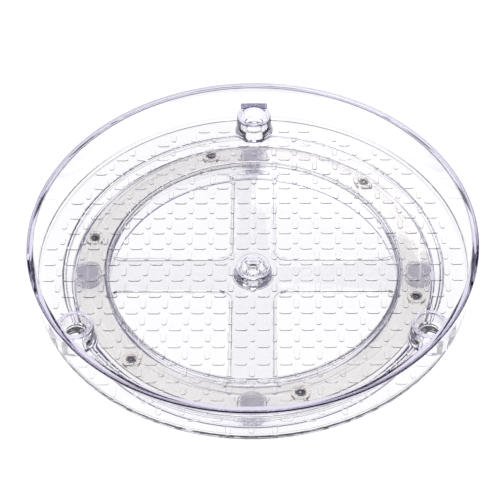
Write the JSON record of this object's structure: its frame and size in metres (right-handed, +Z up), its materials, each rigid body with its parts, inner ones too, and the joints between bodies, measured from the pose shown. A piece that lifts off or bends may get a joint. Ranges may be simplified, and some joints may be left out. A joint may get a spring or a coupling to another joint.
{
  "type": "turntable organiser",
  "caption": "Round clear walled tray turning on a caged ball race over a clear spoked base with soft feet; sockets in the tray take the legs of an upper tier.",
  "frame": {"origin": "centre of the footprint, on the surface the feet stand on; the turning axis passes through it", "axes": "+Z up along the turning axis; +Y towards the back leg socket; +X to the right of it"},
  "size_m": [0.3, 0.3, 0.05],
  "materials": {
    "clear_plastic": "clear, polished mould",
    "clear_plastic_base": "clear, polished mould",
    "cage_plastic": "natural, slightly translucent, satin",
    "bearing_steel": "polished ball",
    "foot_silicone": "matt, soft"
  },
  "bodies": {
    "base_body": {"base": "clear_plastic_base", "foot_right": "foot_silicone", "foot_back": "foot_silicone", "foot_left": "foot_silicone", "foot_front": "foot_silicone"},
    "tray_body": {"tray": "clear_plastic"},
    "cage_body": {"ball_cage": "cage_plastic"},
    "ball_1_body": {"ball_1": "bearing_steel"},
    "ball_2_body": {"ball_2": "bearing_steel"},
    "ball_3_body": {"ball_3": "bearing_steel"},
    "ball_4_body": {"ball_4": "bearing_steel"},
    "ball_5_body": {"ball_5": "bearing_steel"},
    "ball_6_body": {"ball_6": "bearing_steel"}
  },
  "joints": [
    {"name": "tray_spin", "type": "hinge", "parent": "base_body", "child": "tray_body", "pos_m": [0, 0, 0.0195], "axis": [0, 0, 1], "continuous": true},
    {"name": "cage_spin", "type": "hinge", "parent": "base_body", "child": "cage_body", "pos_m": [0, 0, 0.0143], "axis": [0, 0, 1], "continuous": true},
    {"name": "ball_1_roll", "type": "hinge", "parent": "cage_body", "child": "ball_1_body", "pos_m": [-0.10916, 0.02722, 0.0143], "axis": [-0.9703, 0.2419, 0], "continuous": true},
    {"name": "ball_2_roll", "type": "hinge", "parent": "cage_body", "child": "ball_2_body", "pos_m": [-0.03101, 0.10814, 0.0143], "axis": [-0.2756, 0.9613, 0], "continuous": true},
    {"name": "ball_3_roll", "type": "hinge", "parent": "cage_body", "child": "ball_3_body", "pos_m": [0.07815, 0.08093, 0.0143], "axis": [0.6947, 0.7193, 0], "continuous": true},
    {"name": "ball_4_roll", "type": "hinge", "parent": "cage_body", "child": "ball_4_body", "pos_m": [0.10916, -0.02722, 0.0143], "axis": [0.9703, -0.2419, 0], "continuous": true},
    {"name": "ball_5_roll", "type": "hinge", "parent": "cage_body", "child": "ball_5_body", "pos_m": [0.03101, -0.10814, 0.0143], "axis": [0.2756, -0.9613, 0], "continuous": true},
    {"name": "ball_6_roll", "type": "hinge", "parent": "cage_body", "child": "ball_6_body", "pos_m": [-0.07815, -0.08093, 0.0143], "axis": [-0.6947, -0.7193, 0], "continuous": true}
  ],
  "couplings": [
    {"joint": "cage_spin", "follows": "tray_spin", "ratio": 0.5},
    {"joint": "ball_1_roll", "follows": "tray_spin", "ratio": -17.716},
    {"joint": "ball_2_roll", "follows": "tray_spin", "ratio": -17.716},
    {"joint": "ball_3_roll", "follows": "tray_spin", "ratio": -17.716},
    {"joint": "ball_4_roll", "follows": "tray_spin", "ratio": -17.716},
    {"joint": "ball_5_roll", "follows": "tray_spin", "ratio": -17.716},
    {"joint": "ball_6_roll", "follows": "tray_spin", "ratio": -17.716}
  ]
}
